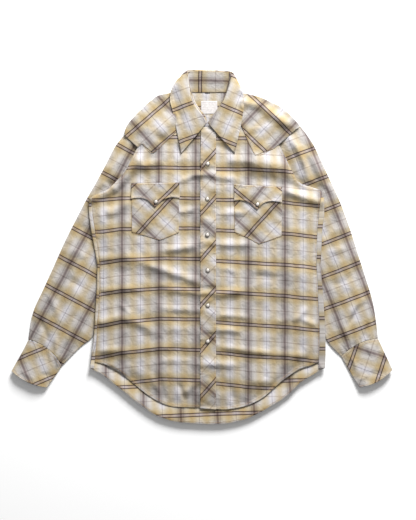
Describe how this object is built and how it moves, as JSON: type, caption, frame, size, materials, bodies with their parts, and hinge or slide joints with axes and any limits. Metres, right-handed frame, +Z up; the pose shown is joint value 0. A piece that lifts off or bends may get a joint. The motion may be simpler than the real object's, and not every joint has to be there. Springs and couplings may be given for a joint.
{
  "type": "western snap shirt",
  "caption": "Long-sleeved plaid western shirt with pointed yokes, flapped chest pockets and a snapped bias placket, laid flat with its sleeves tucked under the body.",
  "frame": {"origin": "on the table, under the middle of the laid shirt's bounding box", "axes": "+X to the wearer's left across the laid shirt, +Y from the hem to the collar, +Z up from the table"},
  "size_m": [0.912, 0.848, 0.0176],
  "materials": {
    "plaid_cotton": "soft woven cotton",
    "label_cloth": "woven satin label",
    "tag_cloth": "dark woven tag",
    "pearl_snap": "pearl cap in a thin metal ring"
  },
  "bodies": {
    "root": {"back": "plaid_cotton", "back_yoke": "plaid_cotton", "front_right": "plaid_cotton", "front_left": "plaid_cotton", "front_yoke_right": "plaid_cotton", "front_yoke_left": "plaid_cotton", "placket": "plaid_cotton", "pocket_right": "plaid_cotton", "pocket_left": "plaid_cotton", "flap_right": "plaid_cotton", "flap_left": "plaid_cotton", "collar_leaf": "plaid_cotton", "collar_stand": "plaid_cotton", "sleeve_right": "plaid_cotton", "sleeve_left": "plaid_cotton", "cuff_right": "plaid_cotton", "cuff_left": "plaid_cotton", "label": "label_cloth", "size_tag": "tag_cloth", "snap_front_1": "pearl_snap", "snap_front_2": "pearl_snap", "snap_front_3": "pearl_snap", "snap_front_4": "pearl_snap", "snap_front_5": "pearl_snap", "snap_front_6": "pearl_snap", "snap_pocket_right": "pearl_snap", "snap_pocket_left": "pearl_snap"}
  },
  "joints": []
}
